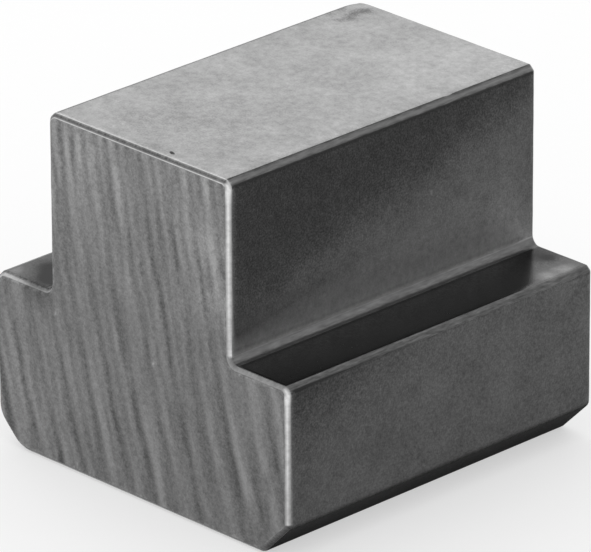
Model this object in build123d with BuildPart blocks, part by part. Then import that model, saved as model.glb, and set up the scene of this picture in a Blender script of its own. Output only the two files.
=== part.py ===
"""Blank nut for T-slots: a length of milled steel T bar, sawn off and deburred, with no hole or thread.

The origin is the middle of the underside. X runs across the T, Y along the bar and Z up to the top of
the tongue. All sizes are in millimetres.
"""
from math import isclose
import os

from build123d import *

# Section of the bar: the flange slides in the slot's chamber and the tongue rises in its throat
flange_width = 35.0
flange_height = 15.8
tongue_width = 21.5
overall_height = 32.0

# Bar sawn off for one nut
nut_length = 36.0

# Corners of the section. The bar's left corners are a little rounder than its right ones.
root_radius = 0.7  # where the tongue meets each clamping shoulder, so that the T doesn't crack there
left_tongue_bevel = 0.65  # leg of the bevel along each top edge of the tongue
right_tongue_bevel = 0.5
left_shoulder_bevel = 0.8  # leg of the bevel along the outer edge of each shoulder
right_shoulder_bevel = 0.45
left_keel_chamfer = 2.6  # leg of the chamfer along each bottom edge, which clears the slot's corners
right_keel_chamfer = 3.1
left_keel_radius = 2.5  # softens both borders of that chamfer
right_keel_radius = 0.9

# Burr taken off round both sawn ends
end_bevel = 0.35


def corner_at(sketch, across, height):
    """Find the section's corner at a distance across from the middle, to the right, and at a height."""
    return sketch.vertices().filter_by(
        lambda corner: isclose(corner.X, across, abs_tol=1e-6) and isclose(corner.Y, height, abs_tol=1e-6)
    )


def dress_corners(sketch, side, tongue_bevel, shoulder_bevel, keel_chamfer, keel_radius):
    """Round and bevel the corners of one half of the section, where side is -1 on the left and 1 on the right."""
    flank = side * tongue_width / 2
    rim = side * flange_width / 2
    fillet(corner_at(sketch, flank, flange_height), radius=root_radius)
    chamfer(corner_at(sketch, flank, overall_height), length=tongue_bevel)
    chamfer(corner_at(sketch, rim, flange_height), length=shoulder_bevel)
    chamfer(corner_at(sketch, rim, 0), length=keel_chamfer)
    keel_borders = corner_at(sketch, rim, keel_chamfer) + corner_at(sketch, rim - side * keel_chamfer, 0)
    fillet(keel_borders, radius=keel_radius)


with BuildPart() as t_slot_nut:
    with BuildSketch(Plane.XZ) as section:
        Rectangle(flange_width, flange_height, align=(Align.CENTER, Align.MIN))
        Rectangle(tongue_width, overall_height, align=(Align.CENTER, Align.MIN))

        dress_corners(
            section, -1, left_tongue_bevel, left_shoulder_bevel, left_keel_chamfer, left_keel_radius
        )
        dress_corners(
            section, 1, right_tongue_bevel, right_shoulder_bevel, right_keel_chamfer, right_keel_radius
        )
    extrude(amount=nut_length / 2, both=True)

    sawn_ends = t_slot_nut.faces().filter_by(Axis.Y)
    chamfer(sawn_ends.edges(), length=end_bevel)

t_slot_nut.part.label = "t_slot_nut"

os.makedirs("parts", exist_ok=True)
export_step(t_slot_nut.part, "parts/t_slot_nut.step")
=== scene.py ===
"""Looks of a blank nut for T-slots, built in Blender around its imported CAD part.

The nut is one length of T bar, so the scene has one piece: a dense shell of the bar's true section,
with the saw's arcs, the waviness of its filed edges and a few nicks as real relief, and one finish for
each way its steel was worked.
"""
import logging
import math
from dataclasses import dataclass, field, fields, replace
from enum import Enum
from typing import Any

import bmesh
import bpy
import numpy as np
from bpy.types import ID, Material, Mesh, Object
from bpy.types import NodeOutputs as Sockets, NodeSocket as Socket, NodeTree as Tree
from mathutils import Matrix, Vector


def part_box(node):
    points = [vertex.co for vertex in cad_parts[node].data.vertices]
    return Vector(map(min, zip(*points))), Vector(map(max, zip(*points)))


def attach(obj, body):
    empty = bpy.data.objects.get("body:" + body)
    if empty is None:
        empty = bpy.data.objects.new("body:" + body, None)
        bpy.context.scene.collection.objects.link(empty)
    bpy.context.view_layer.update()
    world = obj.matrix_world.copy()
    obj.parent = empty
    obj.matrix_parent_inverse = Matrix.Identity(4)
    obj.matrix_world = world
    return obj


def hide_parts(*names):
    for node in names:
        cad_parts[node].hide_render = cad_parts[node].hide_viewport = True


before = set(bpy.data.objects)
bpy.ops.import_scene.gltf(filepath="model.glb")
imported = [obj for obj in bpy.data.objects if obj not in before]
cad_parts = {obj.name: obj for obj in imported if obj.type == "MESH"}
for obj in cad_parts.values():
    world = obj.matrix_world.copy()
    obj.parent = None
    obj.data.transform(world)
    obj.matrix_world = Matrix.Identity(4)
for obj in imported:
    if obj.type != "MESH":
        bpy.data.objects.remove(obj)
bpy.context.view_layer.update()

NODE = "t_slot_nut"
LOG = logging.getLogger(NODE)
MM = 0.001
# How far the round in a 45 degree corner reaches along its sides, as a share of its radius.
EIGHTH_TURN = math.tan(math.radians(22.5))
NOISE_MEAN = 0.5
MATH = "ShaderNodeMath"
NOISE = "ShaderNodeTexNoise"
VECTOR = "ShaderNodeVectorMath"
COMBINE = "ShaderNodeCombineXYZ"
RANGE = "ShaderNodeMapRange"
ATTRIBUTE = "GeometryNodeInputNamedAttribute"

Array = np.ndarray
Pair = tuple[float, float]
# A start, an end and the value at each, with an even change between them.
Ramp = tuple[float, float, float, float]
Number = float | Socket


class Finish(Enum):
    """How each surface of the nut was worked. The value is its number in the mesh."""

    MILLED = 0
    TOP = 1
    SAWN = 2
    FILED = 3
    SHOULDER = 4


class EndBevelPaintedLight(Enum):
    """How the bevel round a sawn end is painted, ring by ring from the end's face out along the bar:
    painted highlights where its rounded corners catch the light, and painted shade lines where they turn
    from it.

    Values run from -1, which paints the colour of whole dark oxide, over 0 to 1, which paints the colour
    of steel rubbed bare.
    """

    # Each row paints highlights where it is above 0 and shade where it is below 0.
    CROWN = (0.05, 0.9, 0.25, -0.5, 0.12, 0.5, 0.15, 0.05)
    SIDE = (0.05, 0.15, 0.36, 0.95, 0.42, 0.32, 0.26, 0.16, 0.08, 0.02)
    RIGHT_LIP = (0.0, 0.15, 0.2, 0.1, 0.0, -0.25, -0.3)
    LEFT_LIP = (0.05, 0.35, 0.5, 0.3, -0.4, -0.8, -0.3)
    # KEEL paints shade on the end of the keel chamfer, for the floor's shadow that it mirrors.
    KEEL = (0.0, -0.1, -0.3, -0.6, -0.9, -0.9, -0.8)


Materials = dict[Finish, Material]


# ---- helpers


def linear(hex_colour: str) -> tuple[float, float, float, float]:
    """Turn an sRGB hex colour into the linear colour that a shader takes.

    Args:
        hex_colour: Six hex digits.

    Returns:
        Linear red, green, blue and an alpha of 1.
    """
    channels = [int(hex_colour[i : i + 2], 16) / 255 for i in (0, 2, 4)]
    r, g, b = (c / 12.92 if c <= 0.04045 else ((c + 0.055) / 1.055) ** 2.4 for c in channels)
    return r, g, b, 1.0


def add(tree: Tree, kind: str, inputs: dict | tuple = (), **settings: Any) -> Sockets:
    """Add one node with its settings, and fill or link its inputs.

    Args:
        tree: The shader or geometry tree that gets the node.
        kind: Blender's type name of the node.
        inputs: Values or output sockets, in the order of the node's inputs or by their names or numbers.
        **settings: Properties set on the node itself.

    Returns:
        The outputs of the new node.
    """
    node = tree.nodes.new(kind)
    for name, value in settings.items():
        setattr(node, name, value)
    for key, value in inputs.items() if isinstance(inputs, dict) else enumerate(inputs):
        if isinstance(value, Socket):
            tree.links.new(value, node.inputs[key])
        else:
            node.inputs[key].default_value = value
    return node.outputs


def empty_material(name: str) -> Material:
    """Make a material with no nodes yet.

    Args:
        name: The material's name.

    Returns:
        The material.
    """
    material = bpy.data.materials.new(name)
    material.use_nodes = True
    material.node_tree.nodes.clear()
    return material


def stand(name: str, data: ID) -> Object:
    """Put an object with this data into the scene.

    Args:
        name: The object's name.
        data: What the object holds.

    Returns:
        The object.
    """
    made = bpy.data.objects.new(name, data)
    bpy.context.scene.collection.objects.link(made)
    return made


# ---- the bar's section


@dataclass(frozen=True)
class Corner:
    """A corner of an outline, with the radius that rounds it."""

    x: float
    z: float
    radius: float = 0.0


def rounded_path(corners: list[Corner], straights: list[int], arcs: list[int]) -> Array:
    """Sample an outline whose inner corners are rounded by arcs.

    Args:
        corners: The path's start, its corners in order and its end.
        straights: Steps on each straight, one number for each gap between corners.
        arcs: Steps on each arc, one number for each inner corner.

    Returns:
        The points, one row of x and z each, with both ends.
    """
    at = [np.array((c.x, c.z)) for c in corners]
    points = [at[0]]
    for i, corner in enumerate(corners[1:-1], start=1):
        back, ahead = (way / np.linalg.norm(way) for way in (at[i - 1] - at[i], at[i + 1] - at[i]))
        half = math.acos(back @ ahead) / 2
        reach = corner.radius / math.tan(half)
        centre = at[i] + (back + ahead) / np.linalg.norm(back + ahead) * corner.radius / math.sin(half)
        entry, leave = at[i] + back * reach, at[i] + ahead * reach
        points += straight(points[-1], entry, straights[i - 1])
        turn = math.pi - 2 * half
        spoke, side = entry - centre, leave - centre
        for n in range(1, arcs[i - 1] + 1):
            share = n / arcs[i - 1]
            swung = spoke * math.sin(turn * (1 - share)) + side * math.sin(turn * share)
            points.append(centre + swung / math.sin(turn))
    return np.array(points + straight(points[-1], at[-1], straights[-1]))


def straight(start: Array, end: Array, count: int) -> list[Array]:
    """List the points of count even steps from start to end, without the start."""
    return [start + (end - start) * (n / count) for n in range(1, count + 1)]


def spread(count: int, *keys: float) -> list[float]:
    """Spread the key values evenly over count points, with straight runs between them."""
    return np.interp(np.linspace(0, 1, count), np.linspace(0, 1, len(keys)), keys).tolist()


@dataclass(frozen=True)
class Grid:
    """How many cells each stretch of the section has, of about 0.3 mm at the most."""

    tongue: int = 66
    shoulder: int = 20
    keel: int = 9
    side: int = 56
    flank: int = 54
    bevel: int = 4
    root_arc: int = 5
    keel_arc: int = 4
    edge_arc: int = 3

    @property
    def across_flange(self) -> int:
        """Cells from the tongue's flank out to the flange's side, over the shoulder."""
        return self.root_arc + self.shoulder + self.bevel + 2 * self.edge_arc

    @property
    def across_tongue(self) -> int:
        """Cells from flank to flank, over the top and both its bevels."""
        return self.tongue + 2 * self.bevel + 4 * self.edge_arc

    @property
    def foot(self) -> int:
        """Cells of the flat underside beyond the flank."""
        return self.across_flange - self.keel - 2 * self.keel_arc


@dataclass(frozen=True)
class Edges:
    """The bevels and radii of the corners on one side of the bar."""

    tongue_bevel: float
    shoulder_bevel: float
    keel_chamfer: float
    keel_radius: float
    edge_radius: float

    def inset(self, depth: float) -> "Edges":
        """Move the corners inwards with the outline.

        Args:
            depth: How far the outline moves.

        Returns:
            The corners there.
        """
        # The legs of a 45 degree bevel shrink by less than the sides move.
        shrink = depth * (2 - math.sqrt(2))
        bevels = ("tongue_bevel", "shoulder_bevel", "keel_chamfer")
        legs = {name: getattr(self, name) - shrink for name in bevels}
        return replace(self, **legs, keel_radius=self.keel_radius - depth)


# The bar's left corners are a little rounder than its right ones.
LEFT_EDGES = Edges(0.65 * MM, 0.8 * MM, 2.6 * MM, 2.5 * MM, 0.6 * MM)
RIGHT_EDGES = Edges(0.5 * MM, 0.45 * MM, 3.1 * MM, 0.9 * MM, 0.2 * MM)


@dataclass(frozen=True)
class BarSection:
    """The T outline of the bar, in metres, with the middle of its width at zero."""

    half_flange: float
    half_tongue: float
    flange_top: float
    top: float
    bottom: float = 0.0
    root_radius: float = 0.7 * MM
    left: Edges = LEFT_EDGES
    right: Edges = RIGHT_EDGES
    grid: Grid = Grid()

    def inset(self, depth: float) -> "BarSection":
        """Move the outline inwards, as the bevel round a sawn end cuts it.

        Args:
            depth: How far it moves.

        Returns:
            The outline there.
        """
        return replace(
            self,
            half_flange=self.half_flange - depth,
            half_tongue=self.half_tongue - depth,
            flange_top=self.flange_top - depth,
            top=self.top - depth,
            bottom=self.bottom + depth,
            root_radius=self.root_radius + depth,
            left=self.left.inset(depth),
            right=self.right.inset(depth),
        )

    @property
    def waist(self) -> float:
        """Height at which the root's fillet leaves the tongue's flank."""
        return self.flange_top + self.root_radius

    def foot_path(self, edges: Edges) -> Array:
        """Sample the underside from below the flank out over the keel chamfer to the side.

        Args:
            edges: The corners of this side.

        Returns:
            The points of the path.
        """
        keel_top = self.bottom + edges.keel_chamfer
        corners = [
            Corner(self.half_tongue, self.bottom),
            Corner(self.half_flange - edges.keel_chamfer, self.bottom, edges.keel_radius),
            Corner(self.half_flange, keel_top, edges.keel_radius),
            Corner(self.half_flange, keel_top + edges.keel_radius * EIGHTH_TURN),
        ]
        g = self.grid
        return rounded_path(corners, [g.foot, g.keel, 0], [g.keel_arc, g.keel_arc])

    def shoulder_path(self, edges: Edges) -> Array:
        """Sample the root's fillet, the shoulder and its bevel, from the flank out to the side.

        Args:
            edges: The corners of this side.

        Returns:
            The points of the path.
        """
        side_top = self.flange_top - edges.shoulder_bevel
        corners = [
            Corner(self.half_tongue, self.waist),
            Corner(self.half_tongue, self.flange_top, self.root_radius),
            Corner(self.half_flange - edges.shoulder_bevel, self.flange_top, edges.edge_radius),
            Corner(self.half_flange, side_top, edges.edge_radius),
            Corner(self.half_flange, side_top - edges.edge_radius * EIGHTH_TURN),
        ]
        g = self.grid
        return rounded_path(corners, [0, g.shoulder, g.bevel, 0], [g.root_arc, g.edge_arc, g.edge_arc])

    def crown_path(self) -> Array:
        """Sample the tongue's top with its two bevels, from the left flank to the right one.

        Returns:
            The points of the path.
        """
        corners = []
        for side, edges in ((-1, self.left), (1, self.right)):
            bevel, radius = edges.tongue_bevel, edges.edge_radius
            corner = [
                Corner(side * (self.half_tongue - bevel), self.top, radius),
                Corner(side * self.half_tongue, self.top - bevel, radius),
                Corner(side * self.half_tongue, self.top - bevel - radius * EIGHTH_TURN),
            ]
            corners += corner[::side]
        g = self.grid
        return rounded_path(corners, [0, g.bevel, g.tongue, g.bevel, 0], [g.edge_arc] * 4)

    def patches(self) -> list[Array]:
        """Divide the T into four grids of points that share their borders.

        Returns:
            Grids of rows going up and columns going to +X, for the left and right halves of the
            flange, the middle under the waist and the tongue above it.
        """
        g = self.grid
        right = between(self.foot_path(self.right), self.shoulder_path(self.right), g.side)
        left = between(self.foot_path(self.left), self.shoulder_path(self.left), g.side)
        left = left[:, ::-1] * (-1, 1)
        level = np.linspace(-self.half_tongue, self.half_tongue, g.across_tongue + 1)
        heights = (self.bottom, self.waist)
        low, waist = (np.stack([level, np.full_like(level, z)], axis=-1) for z in heights)
        return [left, right, between(low, waist, g.side), between(waist, self.crown_path(), g.flank)]

    def stretches(self) -> list["Stretch"]:
        """Walk once round the T, anticlockwise seen from -Y, from below the left flank.

        Returns:
            The stretches, with their finishes and their painted edge light.
        """
        left, right, middle, tongue = self.patches()
        g = self.grid
        milled = [Finish.MILLED]
        fillet = [Finish.FILED] * g.root_arc
        edge = [Finish.FILED] * (g.bevel + 2 * g.edge_arc)
        over = edge + [Finish.SHOULDER] * g.shoulder + fillet
        crown = edge + [Finish.TOP] * g.tongue + edge
        bevel, inner, top = len(edge) + 1, g.shoulder + g.root_arc, g.tongue - 1

        # Painted light along the bar: dark shade lines and faint highlights on the bevels and the root's
        # fillets, painted shade on the right shoulder towards the root, and painted shade on the keel
        # chamfers.
        lip = spread(bevel, -0.3, -0.6, -0.3, -0.5, -0.45, -0.25, -0.3, -0.1)
        left_lip = spread(g.root_arc + 1, -0.7) + [0.0] * (g.shoulder - 1) + lip[::-1]
        lip += spread(g.shoulder - 1, 0.0, 0.0, -0.2, -0.5, -0.8)
        lip += spread(g.root_arc + 1, -0.2, -0.15, -0.15, -0.1, 0.1)
        chamfer = spread(bevel, -0.95, -1.0, -0.85, -0.45, -0.1, 0.0, -0.2, -0.45, -0.7, -0.75, -0.1)
        crest = chamfer + [0.0] * top + chamfer[::-1]
        # Painted shade on the keel chamfer, for the floor's shadow that it mirrors.
        keel = [0.0] * g.foot + [-0.3] + [-0.6] * g.keel_arc
        keel += spread(g.keel + g.keel_arc, -0.5, -0.3, -0.1, 0.0)

        # Strength of the painted highlights and shade round the end bevels.
        left_ends = 0.3
        side_ends = 0.7, 0.7, 0.7, 0.75, 0.8, 0.8, 0.85, 0.9, 1.0, 1.2, 2.4
        flank_ends = 0.7, 0.7, 0.75, 0.8, 0.8, 0.85, 0.9, 0.95, 1.0, 1.2, 2.4
        lip_ends = {
            EndBevelPaintedLight.SIDE: spread(bevel, 1.3, 1.3, 0.6, 0.0) + [0.0] * inner,
            EndBevelPaintedLight.RIGHT_LIP: spread(bevel, 0.0, 0.0, 0.5, 1.0) + [1.0] * inner,
        }
        crown_ends = {
            EndBevelPaintedLight.SIDE: spread(bevel, 1.4, 1.4, 1.0, 0.2, 0.0) + [0.0] * (top + bevel),
            EndBevelPaintedLight.CROWN: spread(bevel, 0.0, 0.1, 0.9, 1.0) + [1.0] * top + spread(bevel, 1.0, 0.4),
        }
        round_keel = spread(g.keel + 2 * g.keel_arc, 0.3, 1.0, 1.0, 0.6)
        keel_ends = {EndBevelPaintedLight.KEEL: [0.0] * (g.foot + 1) + round_keel}
        return [
            Stretch(middle[0], milled * g.across_tongue),
            Stretch(right[0], milled * g.across_flange, keel_ends, keel),
            Stretch(right[:, -1], milled * g.side, {EndBevelPaintedLight.SIDE: spread(g.side + 1, *side_ends)}),
            Stretch(right[-1, ::-1], over, lip_ends, lip),
            Stretch(tongue[:, -1], milled * g.flank, {EndBevelPaintedLight.SIDE: spread(g.flank + 1, *flank_ends)}),
            Stretch(tongue[-1, ::-1], crown, crown_ends, crest),
            Stretch(tongue[::-1, 0], milled * g.flank, {EndBevelPaintedLight.SIDE: spread(g.flank + 1, left_ends)}),
            Stretch(left[-1, ::-1], over[::-1], {EndBevelPaintedLight.LEFT_LIP: spread(bevel + inner, 1.0)}, left_lip),
            Stretch(left[::-1, 0], milled * g.side, {EndBevelPaintedLight.SIDE: spread(g.side + 1, left_ends)}),
            Stretch(left[0], milled * g.across_flange, {}, keel[::-1]),
        ]

    def perimeter(self) -> Array:
        """List the points of the outline, each once."""
        return np.concatenate([stretch.points[:-1] for stretch in self.stretches()])


@dataclass(frozen=True)
class Stretch:
    """One stretch of the outline, with its finish and the painted highlights and shade of its edges.

    Ends gives each kind of painted light of the end bevels its strength at each point, and lines gives
    the painted light of each point along the rest of the bar, bright above 0 and dark below.
    """

    points: Array
    finish: list[Finish]
    ends: dict[EndBevelPaintedLight, list[float]] = field(default_factory=dict)
    lines: list[float] = field(default_factory=list)

    def share(self, kind: EndBevelPaintedLight) -> list[float]:
        """The strength of one kind of painted end light at each point but the last."""
        return self.ends[kind][:-1] if kind in self.ends else [0.0] * len(self.finish)

    @property
    def along(self) -> list[float]:
        """The painted light along the bar at each point but the last."""
        return self.lines[:-1] if self.lines else [0.0] * len(self.finish)


def between(low: Array, high: Array, count: int) -> Array:
    """Fill the space between two rows of points with count even cells."""
    share = np.linspace(0, 1, count + 1)[:, None, None]
    return low + (high - low) * share


# ---- the bar's shell


@dataclass(frozen=True)
class Mark:
    """A small knock, pit, speck, stain, change of tone or patch of painted shade, with its place and
    sizes in millimetres.

    Its wear is added to that of the skin: above 0 it shows bare bright metal, and below 0 dark oxide,
    which some marks use as painted shade.
    """

    x: float
    y: float
    z: float
    width: float
    wear: float = 0.0
    depth: float = 0.0


MARKS = (
    # Knocks in the edges, and the dip of the small pit in the top.
    Mark(3.1, -16.9, 32, 0.24, depth=0.08),
    Mark(10.2, 8, 31.9, 0.4, 0.1, 0.08),
    Mark(17.3, -3.45, 15.7, 0.4, 0.1, 0.08),
    Mark(17.3, 1.9, 15.7, 0.35, 0.1, 0.06),
    Mark(-10.6, 17.8, 31.9, 0.9, depth=0.25),
    # Stain in the far left corner of the top.
    Mark(-7.8, 16.4, 32, 0.55, -0.6),
    Mark(-8.4, 15.9, 32, 0.6, -0.45),
    Mark(-8.2, 15.1, 32, 0.6, -0.45),
    Mark(-7.6, 14.3, 32, 0.55, -0.6),
    Mark(-9.7, 15.1, 32, 0.45, -0.5),
    Mark(-9.6, 13.8, 32, 0.45, -0.4),
    Mark(-8, 13.3, 32, 0.45, -0.4),
    # Faint changes of tone over the top.
    Mark(-1, -13, 32, 7, -0.08),
    Mark(5.5, 10, 32, 5, 0.09),
    Mark(6, 15.5, 32, 5, 0.09),
    # Painted shade beside the tongue at the near end of the left shoulder, fading to a paler rim at its
    # outer corner.
    Mark(-12.4, -15.9, 15.8, 1.7, -1.7),
    Mark(-14.5, -14.5, 15.8, 1.3, -1),
    Mark(-15.9, -16.9, 15.8, 1.3, 0.15),
    # Painted shade by the root at the far end of the right shoulder, and a paler rim along its outer
    # edge.
    Mark(13.6, 16.2, 15.8, 1.3, -0.5),
    Mark(13.8, 16.4, 15.8, 0.5, -0.7),
    Mark(16.5, 13.6, 15.8, 0.8, 0.2),
    Mark(16.4, 15.6, 15.8, 1, 0.2),
    # Cleaner patches of the near sawn end.
    Mark(8.8, -18, 25.2, 2, 0.24),
    Mark(8.8, -18, 21, 1.8, 0.26),
    Mark(-6, -18, 29.3, 1.7, 0.14),
    Mark(-14.6, -18, 6, 2.2, 0.12),
    # Bright specks on the right flank and the near sawn end.
    Mark(10.75, 5.4, 24.1, 0.16, 0.4),
    Mark(10.75, -9.5, 23.9, 0.16, 0.2),
    Mark(10.75, -5, 24.9, 0.16, 0.2),
    Mark(-10.1, -18, 14, 0.16, 0.6),
    Mark(1.7, -18, 13, 0.16, 0.6),
    Mark(-7.7, -18, 0.8, 0.16, 0.5),
)


@dataclass(frozen=True)
class Sheet:
    """A grid of points of the nut's skin, by row and column, with the outside where columns cross rows.

    Each quad has its finish, and each point the rest: sawn is how far the saw's marks reach it and arris
    how far it belongs to a filed edge, both from 0 to 1, and wear runs from -1, dark, to 1, bright, for
    real wear and oxide and also for painted highlights and shade.
    """

    points: Array
    finish: Array | int
    sawn: Array | float
    arris: Array | float
    wear: Array | float


def weld(name: str, sheets: list[Sheet], reach: float) -> Mesh:
    """Make a mesh of sheets, joined along their shared borders.

    Args:
        name: The name of the mesh.
        sheets: The sheets, which cover the whole nut.
        reach: How far apart two points can be and still become one.

    Returns:
        The mesh, with the values of the sheets as attributes.
    """
    mesh = bpy.data.meshes.new(name)
    points = np.concatenate([sheet.points.reshape(-1, 3) for sheet in sheets])
    quads, finishes, first = [], [], 0
    for sheet in sheets:
        rows, columns = sheet.points.shape[:2]
        index = np.arange(rows * columns).reshape(rows, columns) + first
        corners = [index[:-1, :-1], index[:-1, 1:], index[1:, 1:], index[1:, :-1]]
        quads.append(np.stack(corners, axis=-1).reshape(-1, 4))
        finishes.append(np.broadcast_to(sheet.finish, (rows - 1, columns - 1)).ravel())
        first += index.size
    mesh.from_pydata(points, [], np.concatenate(quads).tolist())
    for title in ("sawn", "arris", "wear"):
        values = [np.broadcast_to(getattr(s, title), s.points.shape[:2]).ravel() for s in sheets]
        layer = mesh.attributes.new(title, "FLOAT", "POINT")
        layer.data.foreach_set("value", np.concatenate(values).astype(np.float32))
    layer = mesh.attributes.new("finish", "INT", "FACE")
    layer.data.foreach_set("value", np.concatenate(finishes).astype(np.int32))
    shell = bmesh.new()
    shell.from_mesh(mesh)
    bmesh.ops.remove_doubles(shell, verts=shell.verts, dist=reach)
    shell.to_mesh(mesh)
    shell.free()
    mesh.shade_smooth()
    return mesh


@dataclass(frozen=True)
class OxideAndShade:
    """The dark oxide of one milled side, with painted shade laid in it: it is whole above a line that
    climbs along the bar, which paints the side darker towards its top and its near end.

    Its foot may get a painted brightening, for the light that the shoulder throws up onto it. This fades
    upwards at two rates, and out at the far end.
    """

    line_height: float
    line_climb: float
    softness: float
    strength: float
    rub: float = 0.0
    rub_heights: Pair = (0.9 * MM, 3 * MM)
    rub_shares: Pair = (0.7, 0.3)
    rub_end: float = 18.5 * MM
    rub_fade: float = 5 * MM
    clear_end: float = 0.28 * MM
    clear_fade: float = 0.7 * MM

    def wear(self, along: Array, rise: Array, to_end: Array, foot: float) -> Array:
        """Give the oxide, painted shade and painted foot light at points of the side.

        Args:
            along: Where each point lies along the bar, from its middle.
            rise: The height of each point.
            to_end: How far each point is from the nearer sawn end.
            foot: The height of the side's foot.

        Returns:
            Values from -1, where the oxide and painted shade are whole, to 1, where the foot is painted
            bright.
        """
        above = rise - self.line_height - self.line_climb * along
        whole = self.strength / (1 + np.exp(-above / self.softness))
        whole *= np.clip((to_end - self.clear_end) / self.clear_fade, 0, 1)
        up = np.maximum(rise - foot, 0)
        rates = zip(self.rub_shares, self.rub_heights)
        foot_lit = self.rub * sum(share * np.exp(-up / height) for share, height in rates)
        return foot_lit * np.clip((self.rub_end - along) / self.rub_fade, 0, 1) - whole


@dataclass(frozen=True)
class EndBevel:
    """The small bevel filed round a sawn end, with its own two corners softened."""

    leg: float = 0.35 * MM
    radius: float = 0.16 * MM
    cells: int = 2
    arc_cells: int = 2
    fade_rings: tuple[float, ...] = (0.1 * MM, 0.2 * MM, 0.35 * MM, 0.6 * MM)
    far_end_share: float = 0.25

    @property
    def rings(self) -> int:
        """The number of rings over the bevel, with those on its two borders."""
        return self.cells + 2 * self.arc_cells + 1

    @property
    def reach(self) -> float:
        """How far the bevel and its softened corner eat into the end and the sides."""
        return self.leg + self.radius * EIGHTH_TURN

    def profile(self) -> Array:
        """List the rings from the end's face to the sides.

        Returns:
            How far each ring is inset, and its distance from the end.
        """
        corners = [Corner(self.reach, 0), Corner(self.leg, 0, self.radius),
                   Corner(0, self.leg, self.radius), Corner(0, self.reach)]
        return rounded_path(corners, [0, self.cells, 0], [self.arc_cells, self.arc_cells])


@dataclass(frozen=True)
class Arcs:
    """Evenly spaced arcs round one centre, one of them at the streak radius.

    Each size is a number in the materials, and an input of the tree that cuts the relief.
    """

    centre_x: Number
    centre_z: Number
    pitch: Number
    streak: Number

    def radius(self, tree: Tree, axes: Sockets) -> Socket:
        """Measure from the centre of the arcs.

        Args:
            tree: The tree to add the nodes to.
            axes: Each place, as X, Y and Z.

        Returns:
            The distance of each place.
        """
        spot = add(tree, COMBINE, (axes[0], 0.0, axes[2]))[0]
        centre = add(tree, COMBINE, (self.centre_x, 0.0, self.centre_z))[0]
        return add(tree, VECTOR, (spot, centre), operation="DISTANCE")["Value"]

    def wave(self, tree: Tree, axes: Sockets, wander: Socket) -> Socket:
        """Lay a wave over the arcs.

        Args:
            tree: The tree to add the nodes to.
            axes: Each place, as X, Y and Z.
            wander: How far the arcs are moved at each place.

        Returns:
            The wave, which is 1 on each arc and -1 halfway between two arcs.
        """
        turn = self.radius(tree, axes)
        steps = ("ADD", wander), ("SUBTRACT", self.streak), ("DIVIDE", self.pitch), ("MULTIPLY", math.tau)
        for operation, number in steps:
            turn = add(tree, MATH, (turn, number), operation=operation)[0]
        return add(tree, MATH, (turn,), operation="COSINE")[0]


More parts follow.
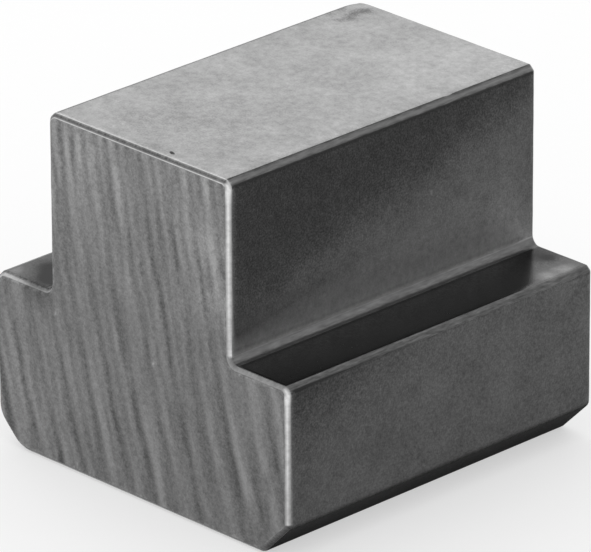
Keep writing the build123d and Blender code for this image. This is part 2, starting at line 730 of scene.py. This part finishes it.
@dataclass(frozen=True)
class SawMarks:
    """What the circular saw and the file left on the bar, as relief cut into its skin.

    The saw's centre is to the right of the nut's end and above its middle, so that its teeth leave flat
    arcs, which lean outwards as they go down. Their spacing is the feed of a tooth pair and of a whole
    turn. The arcs drift, because the bar gives under the blade, and the file leaves long low waves.
    """

    teeth: Arcs = Arcs(169 * MM, 55 * MM, 1.375 * MM, 169.52 * MM)
    turns: Arcs = Arcs(169 * MM, 48 * MM, 2.71 * MM, 170.1 * MM)
    tooth_depth: float = 0.0088 * MM
    turn_depth: float = 0.0072 * MM
    drift: float = 0.9 * MM
    drift_length: float = 6 * MM
    wave_length: float = 2.2 * MM
    wave_depth: float = 0.05 * MM
    seed: float = 7.0

    def tree(self, materials: Materials) -> Tree:
        """Build the Geometry Nodes tree that cuts the relief and gives each face its steel.

        Args:
            materials: The material for each finish.

        Returns:
            The tree, whose inputs are named for the sizes of this class.
        """
        tree = bpy.data.node_groups.new("Saw and file marks", "GeometryNodeTree")
        for way in ("INPUT", "OUTPUT"):
            tree.interface.new_socket("Geometry", in_out=way, socket_type="NodeSocketGeometry")
        for name in self.inputs():
            tree.interface.new_socket(name, in_out="INPUT", socket_type="NodeSocketFloat")
        size = add(tree, "NodeGroupInput")
        normal = add(tree, "GeometryNodeInputNormal")[0]
        inwards = add(tree, MATH, (self.depth(tree, size), -1.0), operation="MULTIPLY")[0]
        offset = add(tree, VECTOR, {0: normal, "Scale": inwards}, operation="SCALE")[0]
        worked = add(tree, "GeometryNodeSetPosition", {"Geometry": size["Geometry"], "Offset": offset})[0]
        worked = add(tree, "GeometryNodeRealizeInstances", (worked,))[0]
        kind = add(tree, ATTRIBUTE, {"Name": "finish"}, data_type="INT")[0]
        for finish, material in materials.items():
            numbers = {2: kind, 3: finish.value}
            chosen = add(tree, "FunctionNodeCompare", numbers, data_type="INT", operation="EQUAL")[0]
            faces = {"Geometry": worked, "Selection": chosen, "Material": material}
            worked = add(tree, "GeometryNodeSetMaterial", faces)[0]
        add(tree, "NodeGroupOutput", {"Geometry": worked})
        return tree

    def depth(self, tree: Tree, size: Sockets) -> Socket:
        """Work out how deep the saw and the file cut.

        Args:
            tree: The tree to add the nodes to.
            size: The tree's inputs.

        Returns:
            The depth at each place.
        """
        place = add(tree, "GeometryNodeInputPosition")[0]
        axes = add(tree, "ShaderNodeSeparateXYZ", (place,))
        sawn, filed = (
            add(tree, ATTRIBUTE, {"Name": name}, data_type="FLOAT")[0] for name in ("sawn", "arris")
        )
        noises = []
        for length, detail in (("drift length", 2.0), ("wave length", 3.0)):
            scale = add(tree, MATH, (1.0, size[length]), operation="DIVIDE")[0]
            rules = {"Vector": place, "Scale": scale, "Detail": detail, "W": size["seed"]}
            noises.append(add(tree, NOISE, rules, noise_dimensions="4D")[0])
        drift = add(tree, MATH, (noises[0], NOISE_MEAN), operation="SUBTRACT")[0]
        wander = add(tree, MATH, (drift, size["drift"]), operation="MULTIPLY")[0]
        swell = add(tree, MATH, (noises[1], size["wave depth"]), operation="MULTIPLY")[0]
        depth = add(tree, MATH, (swell, filed), operation="MULTIPLY")[0]
        for title, deepest in (("teeth", "tooth depth"), ("turns", "turn depth")):
            arcs = Arcs(*(size[f"{title} {item.name}"] for item in fields(Arcs)))
            wave = arcs.wave(tree, axes, wander)
            # Nothing is cut on an arc, and the full depth is halfway between two.
            groove = add(tree, MATH, (wave, -0.5, 0.5), operation="MULTIPLY_ADD")[0]
            reach = add(tree, MATH, (sawn, size[deepest]), operation="MULTIPLY")[0]
            depth = add(tree, MATH, (groove, reach, depth), operation="MULTIPLY_ADD")[0]
        return depth

    def inputs(self) -> dict[str, float]:
        """Name the tree's inputs.

        Returns:
            The size of each input, by its name.
        """
        sizes = {item.name.replace("_", " "): getattr(self, item.name) for item in fields(self)}
        for title in ("teeth", "turns"):
            arcs = sizes.pop(title)
            sizes |= {f"{title} {item.name}": getattr(arcs, item.name) for item in fields(arcs)}
        return sizes

    def cut(self, mesh: Mesh, materials: Materials) -> Mesh:
        """Run the tree on a mesh and return the result as a plain mesh.

        Args:
            mesh: The shell, with its sawn, arris and finish attributes.
            materials: The material for each finish.

        Returns:
            The worked mesh, with no modifier and no instance left.
        """
        carrier = stand("carrier", mesh)
        tree = self.tree(materials)
        modifier = carrier.modifiers.new("Saw and file marks", "NODES")
        modifier.node_group = tree
        sizes = self.inputs()
        for item in tree.interface.items_tree:
            if item.in_out == "INPUT" and item.name in sizes:
                modifier[item.identifier] = sizes[item.name]
        graph = bpy.context.evaluated_depsgraph_get()
        worked = bpy.data.meshes.new_from_object(carrier.evaluated_get(graph))
        carrier.modifiers.remove(modifier)
        bpy.data.objects.remove(carrier)
        return worked


@dataclass
class NutBlank:
    """The whole nut: one sawn length of T bar with filed edges."""

    low: Vector
    high: Vector
    tongue_width: float = 21.5 * MM
    flange_height: float = 15.8 * MM
    rings: int = 100
    weld_reach: float = 0.002 * MM
    # Painted shade on the sawn ends: darker towards the bottom, at full strength from end_fade below the
    # top.
    end_shade: float = 0.3
    end_fade: float = 15 * MM
    side_depth: float = 0.1 * MM
    side_clearance: float = 0.3 * MM
    flank_clearance: float = 0.6 * MM
    # Oxide on the milled sides, which also paints them darker towards the top and the near end, and
    # paints light at the tongue flank's foot.
    tongue_oxide: OxideAndShade = OxideAndShade(24.5 * MM, 0.29, 1.1 * MM, 0.75, rub=0.55)
    flange_oxide: OxideAndShade = OxideAndShade(21.0 * MM, 0.5, 2.5 * MM, 1.0)
    bevel: EndBevel = EndBevel()
    saw: SawMarks = SawMarks()
    marks: tuple[Mark, ...] = MARKS

    @property
    def section(self) -> BarSection:
        """The bar's section, taken up to the CAD box."""
        flange_top = self.low.z + self.flange_height
        return BarSection(self.high.x, self.tongue_width / 2, flange_top, self.high.z, self.low.z)

    def skin(self) -> list[Sheet]:
        """Lay out the sides with the end bevels, and both sawn ends.

        Returns:
            The sheets of quads.
        """
        section = self.section
        plain = section.perimeter()
        finish = np.array([f.value for stretch in section.stretches() for f in stretch.finish])
        inward = (section.inset(self.bevel.leg).perimeter() - plain) / self.bevel.leg
        depths, along = self.ring_places()
        flat = plain + inward * depths[:, None, None]
        flat = np.concatenate([flat, flat[:, :1]], axis=1)
        lengths = np.broadcast_to(along[:, None], flat.shape[:2])
        sheet = np.stack([flat[..., 0], lengths, flat[..., 1]], axis=-1)
        numbers = np.broadcast_to(finish, (len(depths) - 1, len(finish))).copy()
        edge_rings = self.bevel.rings - 1
        numbers[:edge_rings] = numbers[-edge_rings:] = Finish.FILED.value
        arris = np.zeros(flat.shape[:2])
        filed = finish == Finish.FILED.value
        arris[:, :-1] = np.logical_or(filed, np.roll(filed, 1))
        arris[:, -1] = arris[:, 0]
        arris[: edge_rings + 1] = arris[-edge_rings - 1 :] = 1
        # Painted highlights and shade of the edges, plus oxide with painted shade and light on the milled
        # sides.
        wear = self.painted_edge_light(section, len(depths)) + self.oxide_and_painted_light(sheet)
        sheets = [Sheet(sheet[:, ::-1], numbers[:, ::-1], 0.0, arris[:, ::-1], wear[:, ::-1])]
        for end, way in ((self.low.y, 1), (self.high.y, -1)):
            for patch in section.inset(self.bevel.reach).patches():
                face = np.stack([patch[..., 0], np.full(patch.shape[:2], end), patch[..., 1]], axis=-1)
                # Painted shade: each sawn end darkens towards the bottom.
                fade = -self.end_shade * np.clip((section.top - face[..., 2]) / self.end_fade, 0, 1)
                sheets.append(Sheet(face[::way], Finish.SAWN.value, 1.0, 0.0, fade[::way]))
        return sheets

    def ring_places(self) -> tuple[Array, Array]:
        """Place the rings along the bar.

        Returns:
            How far each ring is inset by the end bevels, and where along Y it lies.
        """
        profile, reach = self.bevel.profile(), self.bevel.reach
        fade = reach + np.array(self.bevel.fade_rings)
        first = reach + self.bevel.fade_rings[-1]
        middle = np.linspace(self.low.y + first, self.high.y - first, self.rings + 1)[1:-1]
        depths = np.concatenate([profile[:, 0], np.zeros(2 * len(fade) + len(middle)), profile[::-1, 0]])
        front = np.concatenate([profile[:, 1], fade])
        return depths, np.concatenate([self.low.y + front, middle, self.high.y - front[::-1]])

    def painted_edge_light(self, section: BarSection, ring_count: int) -> Array:
        """Work out the painted highlights and shade of the edges for each ring and each point of the
        outline.

        Args:
            section: The section whose stretches say how each edge is painted.
            ring_count: The number of rings along the bar.

        Returns:
            The painted light by ring and point, with the first point again at the end.
        """
        stretches = section.stretches()
        ends = np.zeros(ring_count)
        ends[: self.bevel.rings] = 1.0
        wear = (1 - ends - ends[::-1])[:, None] * np.concatenate([s.along for s in stretches])
        for kind in EndBevelPaintedLight:
            profile = np.array(kind.value)[:, None] * np.concatenate([s.share(kind) for s in stretches])
            wear[: len(profile)] += profile
            wear[-len(profile) :] += profile[::-1] * self.bevel.far_end_share
        return np.concatenate([wear, wear[:, :1]], axis=1)

    def oxide_and_painted_light(self, sheet: Array) -> Array:
        """Work out the oxide of the milled sides of tongue and flange, with painted shade towards their
        tops and near ends and painted light at the tongue flank's foot.

        Args:
            sheet: The places of the points.

        Returns:
            The value of each point, which is 0 off the milled sides.
        """
        across, along, rise = np.abs(sheet[..., 0]), sheet[..., 1], sheet[..., 2]
        to_end = self.high.y - np.abs(along)
        waist, slack = self.section.waist, 0.01 * MM
        tongue = self.tongue_oxide.wear(along, rise, to_end, waist)
        flange = self.flange_oxide.wear(along, rise, to_end, 0.0)
        flank = (across > self.tongue_width / 2 - self.side_depth) & (rise > waist - slack)
        flank &= rise < self.high.z - self.flank_clearance
        side = across > self.high.x - self.side_depth
        side &= rise < self.flange_height - self.side_clearance
        return np.where(flank, tongue, np.where(side, flange, 0.0))

    def knock(self, mesh: Mesh) -> None:
        """Push the vertices near each mark inwards, and brighten or darken them.

        Args:
            mesh: The nut's mesh, which is changed in place.
        """
        count = len(mesh.vertices)
        points, normals, wear = np.empty(count * 3), np.empty(count * 3), np.empty(count)
        mesh.vertices.foreach_get("co", points)
        mesh.vertex_normals.foreach_get("vector", normals)
        layer = mesh.attributes["wear"].data
        layer.foreach_get("value", wear)
        points, normals = points.reshape(-1, 3), normals.reshape(-1, 3)
        for mark in self.marks:
            away = np.linalg.norm(points - np.array((mark.x, mark.y, mark.z)) * MM, axis=1)
            near = np.exp(-((away / (mark.width * MM)) ** 2))
            points -= normals * (mark.depth * MM * near)[:, None]
            wear += mark.wear * near
        mesh.vertices.foreach_set("co", points.reshape(-1))
        layer.foreach_set("value", np.clip(wear, -1, 1).astype(np.float32))
        mesh.update()

    def build(self, materials: Materials) -> Object:
        """Make the nut, ride it on the root body and let it stand for its CAD node.

        Args:
            materials: The material for each finish.

        Returns:
            The finished piece.
        """
        mesh = weld("t_slot_nut_skin", self.skin(), self.weld_reach)
        self.knock(mesh)
        worked = self.saw.cut(mesh, materials)
        worked.name = "t_slot_nut_worked"
        piece = stand("nut_blank", worked)
        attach(piece, "root")
        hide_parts(NODE)
        LOG.info("%s: %d faces", piece.name, len(worked.polygons))
        return piece


# ---- finishes


@dataclass(frozen=True)
class Pit:
    """A small sharp-edged pit, longer than it is wide, in a face that points up."""

    at: tuple[float, float, float]
    half_length: float
    half_width: float
    turn: float
    border: Pair = (1.25, 0.75)

    def mask(self, tree: Tree, place: Socket) -> Socket:
        """Mark out the pit.

        Args:
            tree: The material's tree.
            place: Where each point of the surface is.

        Returns:
            1 in the pit and 0 outside it, with a narrow border.
        """
        size = (self.half_length, self.half_width, self.half_length)
        own = (place, self.at, (0, 0, self.turn), size)
        spot = add(tree, "ShaderNodeMapping", own, vector_type="TEXTURE")[0]
        away = add(tree, VECTOR, (spot,), operation="LENGTH")["Value"]
        return add(tree, RANGE, (away, *self.border))[0]


@dataclass(frozen=True)
class Steel:
    """Bare carbon steel, in one of the ways in which its surface was worked.

    Its colour is that of the metal seen square on, darker where the surface is rough or keeps a thin
    oxide from rolling and hardening. Clouds and mottle are the patchiness of that oxide, and grit is the
    finest grain. Shares weigh the three in the colour, and the bump weighs mottle against grit. Ragged is
    how unevenly the dark oxide ends, and lay how much longer the marks are along the bar than across it.
    Edge tint colours what the steel mirrors at grazing angles.
    """

    name: str
    bright: str
    dark: str
    roughness: Pair
    bare: str = "e6e6e6"
    oxide: str = "303030"
    cloud: float = 3 * MM
    mottle: float = 0.5 * MM
    grit: float = 0.16 * MM
    shares: tuple[float, ...] = (0.16, 0.24, 0.28)
    contrast: float = 0.12
    ragged: float = 4.0
    ragged_mottle: float = 0.3
    lay: float = 1.0
    edge_tint: str = "ffffff"
    bump_depth: float = 0.004 * MM
    bump_mottle: float = 0.5
    pits: tuple[Pit, ...] = ()

    def material(self) -> Material:
        """Build the material.

        Returns:
            The material, whose colour, roughness and bump follow the patches of its surface.
        """
        material = empty_material(self.name)
        tree = material.node_tree
        place = add(tree, "ShaderNodeTexCoord")["Object"]
        laid = add(tree, VECTOR, (place, (1, 1 / self.lay, 1)), operation="MULTIPLY")[0]
        clouds, mottle, grit = (
            add(tree, NOISE, {"Vector": at, "Scale": 1 / size, "Detail": detail, "Roughness": rough})[0]
            for at, size, detail, rough in (
                (place, self.cloud, 3.0, 0.5), (laid, self.mottle, 3.0, 0.6), (laid, self.grit, 2.0, 0.5)
            )
        )
        patchy = self.pattern(tree, place, [clouds, mottle, grit])

        # The wear attribute carries real wear and oxide, and also painted highlights above 0 and painted
        # shade below 0.
        wear = add(tree, "ShaderNodeAttribute", attribute_name="wear")["Fac"]
        uneven = add(tree, MATH, (mottle, 1 - NOISE_MEAN), operation="ADD")[0]
        rubbed_and_lit = add(tree, MATH, (wear, uneven), operation="MULTIPLY", use_clamp=True)[0]
        tarnish = self.tarnish(tree, wear, mottle, grit)
        for pit in self.pits:
            tarnish = add(tree, MATH, (tarnish, pit.mask(tree, place)), operation="MAXIMUM")[0]
        # Mix in the noise's bright colour, then the oxide colour, which also paints shade, and the bare
        # colour, which also paints highlights.
        colour = linear(self.dark)
        for share, tone in ((patchy, self.bright), (tarnish, self.oxide), (rubbed_and_lit, self.bare)):
            mixed = {0: share, 6: colour, 7: linear(tone)}
            colour = add(tree, "ShaderNodeMix", mixed, data_type="RGBA")[2]

        rough = add(tree, RANGE, {0: patchy, 3: self.roughness[1], 4: self.roughness[0]})[0]
        height = add(tree, MATH, (mottle, self.bump_mottle, grit), operation="MULTIPLY_ADD")[0]
        relief = {"Strength": 1.0, "Distance": self.bump_depth, "Height": height}
        bump = add(tree, "ShaderNodeBump", relief)[0]
        look = {"Base Color": colour, "Metallic": 1.0, "Roughness": rough, "Normal": bump,
                "Specular Tint": linear(self.edge_tint)}
        shader = add(tree, "ShaderNodeBsdfPrincipled", look)[0]
        add(tree, "ShaderNodeOutputMaterial", {"Surface": shader})
        return material

    def tarnish(self, tree: Tree, wear: Socket, mottle: Socket, grit: Socket) -> Socket:
        """Lay the dark oxide and the painted shade, which the grain breaks up where they are thin.

        Args:
            tree: The material's tree.
            wear: The wear, which is below 0 where oxide is left and where shade is painted.
            mottle: The coarse noise of the grain.
            grit: The fine noise of the grain.

        Returns:
            The thickness of the oxide and painted shade, from 0 to 1.
        """
        thick = add(tree, MATH, (wear, -1.0), operation="MULTIPLY", use_clamp=True)[0]
        gone = add(tree, MATH, (1.0, thick), operation="SUBTRACT")[0]
        border = add(tree, MATH, (thick, gone), operation="MULTIPLY")[0]
        noise = add(tree, MATH, (mottle, self.ragged_mottle, grit), operation="MULTIPLY_ADD")[0]
        grain = add(tree, MATH, (NOISE_MEAN * (1 + self.ragged_mottle), noise), operation="SUBTRACT")[0]
        broken = add(tree, MATH, (border, grain), operation="MULTIPLY")[0]
        return add(tree, MATH, (broken, self.ragged, thick), operation="MULTIPLY_ADD", use_clamp=True)[0]

    def pattern(self, tree: Tree, place: Socket, layers: list[Socket], total: Number = 0.0) -> Socket:
        """Work out where the steel is bright and where it is dark.

        Args:
            tree: The material's tree.
            place: Where each point of the surface is; not used here.
            layers: Layers of noise, which are added by their shares.
            total: What they are added to.

        Returns:
            A share from 0, where the steel is dark, to 1, where it is bright.
        """
        for layer, share in zip(layers, self.shares):
            total = add(tree, MATH, (layer, share, total), operation="MULTIPLY_ADD")[0]
        mean = sum(self.shares) * NOISE_MEAN
        return add(tree, RANGE, (total, mean - self.contrast, mean + self.contrast))[0]


@dataclass(frozen=True)
class SawnSteel(Steel):
    """Steel as a circular saw leaves it: dull, with streaks along the blade's arcs.

    The arcs of the teeth are strongest near the top, and those of whole turns near the bottom and on the
    right. Wander makes the borders of the streaks ragged, and the last share is that of single streaks.
    """

    saw: SawMarks = SawMarks()
    wander: float = 0.3 * MM
    streak_width: float = 0.8 * MM
    streak_length: float = 7 * MM
    patch: float = 4 * MM
    patch_strength: Ramp = (0.4, 0.56, 0.3, 1.0)
    tooth_rise: Ramp = (19 * MM, 30 * MM, 0.07, 0.15)
    tooth_right: Ramp = (14 * MM, 10 * MM, 0.4, 1.0)
    turn_fall: Ramp = (14 * MM, 3 * MM, 0.06, 0.165)
    turn_right: Ramp = (6 * MM, 13 * MM, 0.0, 0.06)
    shares: tuple[float, ...] = (0.1, 0.45, 0.5, 0.5)
    contrast: float = 0.33

    def pattern(self, tree: Tree, place: Socket, layers: list[Socket], total: Number = 0.0) -> Socket:
        """Lay the blade's arcs, evenly spaced but patchy, and single streaks over mottle and grit.

        Args:
            tree: The material's tree.
            place: Where each point of the surface is.
            layers: Layers of noise, to which the streaks are added.
            total: What they are added to.

        Returns:
            A share from 0, where the steel is dark, to 1, where it is bright.
        """
        axes = add(tree, "ShaderNodeSeparateXYZ", (place,))
        drift = add(tree, NOISE, {"Vector": place, "Scale": 1 / self.saw.drift_length, "Detail": 1.0})[0]
        wander = 0.0
        for layer, size in ((drift, self.saw.drift), (layers[1], self.wander)):
            centred = add(tree, MATH, (layer, NOISE_MEAN), operation="SUBTRACT")[0]
            wander = add(tree, MATH, (centred, size, wander), operation="MULTIPLY_ADD")[0]
        radius = add(tree, MATH, (self.saw.turns.radius(tree, axes), wander), operation="ADD")[0]
        spot = add(tree, COMBINE, (radius, axes[2], axes[1]))[0]
        cell = (self.streak_width, self.streak_length, self.streak_length)
        spot = add(tree, VECTOR, (spot, cell), operation="DIVIDE")[0]
        streak = add(tree, NOISE, {"Vector": spot, "Scale": 1.0, "Detail": 1.0})[0]
        patches = add(tree, NOISE, {"Vector": place, "Scale": 1 / self.patch, "Detail": 1.0})[0]
        ramps = ((patches, self.patch_strength), (axes[2], self.tooth_rise), (axes[0], self.tooth_right),
                 (axes[2], self.turn_fall), (axes[0], self.turn_right))
        strength, high, inside, low, right = (
            add(tree, RANGE, (value, *ramp))[0] for value, ramp in ramps
        )
        teeth = add(tree, MATH, (high, inside), operation="MULTIPLY")[0]
        turns = add(tree, MATH, (low, right), operation="ADD")[0]
        for arcs, level in ((self.saw.teeth, teeth), (self.saw.turns, turns)):
            level = add(tree, MATH, (level, strength), operation="MULTIPLY")[0]
            wave = arcs.wave(tree, axes, wander)
            total = add(tree, MATH, (wave, level, total), operation="MULTIPLY_ADD")[0]
        return super().pattern(tree, place, [*layers, streak], total)


# ---- studio


@dataclass(frozen=True)
class Softbox:
    """A flat lamp, placed by the way in which it is seen from the nut."""

    name: str
    azimuth: float
    elevation: float
    distance: float
    width: float
    height: float
    radiance: float

    def hang(self) -> None:
        """Hang the lamp round the nut, with its power worked out from its radiance and area."""
        lamp = bpy.data.lights.new(self.name, "AREA")
        lamp.shape = "RECTANGLE"
        lamp.size, lamp.size_y = self.width, self.height
        lamp.energy = self.radiance * math.pi * self.width * self.height
        away = direction(self.azimuth, self.elevation)
        holder = stand(self.name, lamp)
        holder.location = away * self.distance
        holder.rotation_euler = away.to_track_quat("Z", "Y").to_euler()


def direction(azimuth: float, elevation: float) -> Vector:
    """Turn a compass bearing, from -Y round to +X, and a height in degrees into a direction."""
    turn, lift = math.radians(azimuth), math.radians(elevation)
    return Vector((math.sin(turn) * math.cos(lift), -math.cos(turn) * math.cos(lift), math.sin(lift)))


@dataclass(frozen=True)
class Studio:
    """A pale floor, softboxes, a dim room and the camera."""

    floor_colour: str = "f6f6f6"
    floor_lift: float = 0.5
    floor_radius: float = 2.5
    floor_sides: int = 96
    floor_gap: float = 0.01 * MM
    room_colour: str = "ffffff"
    room_strength: float = 0.95
    softboxes: tuple[Softbox, ...] = (
        Softbox("key", -90, 50, 1.0, 0.8, 0.6, 0.9),
        Softbox("rear", -134, 32, 0.9, 0.9, 0.45, 0.3),
    )
    camera_azimuth: float = 45.616
    camera_elevation: float = 23.423
    camera_distance: float = 718.6 * MM
    camera_roll: float = -0.237
    camera_aim: Pair = (0.102 * MM, 14.92 * MM)
    camera_clip: Pair = (0.05, 10.0)
    lens: float = 522.0

    def lay_floor(self) -> None:
        """Lay a round matt floor just under the nut."""
        mesh = bpy.data.meshes.new("floor")
        disc = bmesh.new()
        bmesh.ops.create_circle(disc, cap_ends=True, segments=self.floor_sides, radius=self.floor_radius)
        disc.to_mesh(mesh)
        disc.free()
        mesh.materials.append(self.paper())
        floor = stand("floor", mesh)
        floor.location.z = -self.floor_gap

    def paper(self) -> Material:
        """Make the floor's matt white paper.

        Returns:
            The material, whose shadows are lifted for the eye and in reflections.
        """
        material = empty_material("matt white paper")
        tree = material.node_tree
        matt = add(tree, "ShaderNodeBsdfDiffuse", {"Color": linear(self.floor_colour)})[0]
        glow = add(tree, "ShaderNodeEmission", {"Color": linear("ffffff"), "Strength": 1.0})[0]
        rays = add(tree, "ShaderNodeLightPath")
        seen = add(tree, MATH, (rays["Is Camera Ray"], rays["Is Glossy Ray"]), operation="ADD")[0]
        share = add(tree, MATH, (seen, self.floor_lift), operation="MULTIPLY")[0]
        lifted = add(tree, "ShaderNodeMixShader", (share, matt, glow))[0]
        add(tree, "ShaderNodeOutputMaterial", {"Surface": lifted})
        return material

    def fill_room(self) -> None:
        """Give the room a dim even light."""
        world = bpy.data.worlds.new("room")
        world.use_nodes = True
        light = world.node_tree.nodes["Background"].inputs
        light["Color"].default_value = linear(self.room_colour)
        light["Strength"].default_value = self.room_strength
        bpy.context.scene.world = world

    def set_camera(self) -> None:
        """Put the camera in place, with its slight roll about its own axis."""
        sideways = direction(self.camera_azimuth + 90, 0)
        aim = sideways * self.camera_aim[0] + Vector((0, 0, self.camera_aim[1]))
        away = direction(self.camera_azimuth, self.camera_elevation)
        camera = bpy.data.cameras.new("camera")
        camera.lens = self.lens
        camera.clip_start, camera.clip_end = self.camera_clip
        square = Matrix((sideways, away.cross(sideways), away)).transposed()
        rolled = square @ Matrix.Rotation(math.radians(self.camera_roll), 3, "Z")
        holder = stand("camera", camera)
        holder.matrix_world = Matrix.Translation(aim + away * self.camera_distance) @ rolled.to_4x4()
        bpy.context.scene.camera = holder

    def build(self) -> None:
        """Set up the floor, the light and the camera."""
        self.lay_floor()
        self.fill_room()
        for softbox in self.softboxes:
            softbox.hang()
        self.set_camera()
        bpy.context.scene.view_settings.view_transform = "Standard"
        LOG.info("studio: %d softboxes", len(self.softboxes))


def steels(saw: SawMarks) -> Materials:
    """Make the material of each finish.

    Args:
        saw: The saw's marks, whose arcs the sawn steel follows.

    Returns:
        The material for each finish.
    """
    kinds = {
        # Milled after rolling: a thin grey oxide makes the flanks dark and evenly satin. Their colour and
        # edge tint are also darkened as painted shade, for the dim floor they mirror and the shadow under
        # the keel.
        Finish.MILLED: Steel("milled oxidised steel", "6c6c6c", "4a4a4a", (0.40, 0.50),
                             edge_tint="707070", shares=(0.16, 0.18, 0.32), ragged=3.5),
        # Ground top: clean and pale, with a faint stain here and there and one small pit.
        Finish.TOP: Steel("ground steel", "b6b6b6", "8a8a8a", (0.40, 0.50), mottle=0.6 * MM,
                          shares=(0.18, 0.26, 0.2),
                          pits=(Pit((3.10 * MM, -16.9 * MM, 32 * MM), 0.38 * MM, 0.17 * MM, -0.36),)),
        # Sawn ends: dull, torn metal with streaks along the arcs.
        Finish.SAWN: SawnSteel("saw cut steel", "aaaaaa", "626262", (0.42, 0.55), ragged=0.0, saw=saw),
        # Filed edges and the cutter's fillet: duller than the ground top, with painted highlights and
        # shade lines along them from the wear attribute.
        Finish.FILED: Steel("filed steel", "7c7c7c", "646464", (0.30, 0.40), lay=6),
        # Shoulders, milled after the flanks: cleaner metal, which mirrors the dark flank over it.
        Finish.SHOULDER: Steel("milled steel", "6a6a6a", "5e5e5e", (0.18, 0.28), edge_tint="d8d8d8"),
    }
    return {finish: steel.material() for finish, steel in kinds.items()}


def main() -> None:
    """Build the nut and the studio round it."""
    logging.basicConfig(level=logging.INFO, format="%(name)s: %(message)s")
    low, high = (Vector(corner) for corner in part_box(NODE))
    nut = NutBlank(low, high)
    nut.build(steels(nut.saw))
    Studio().build()


if __name__ == "__main__":
    main()
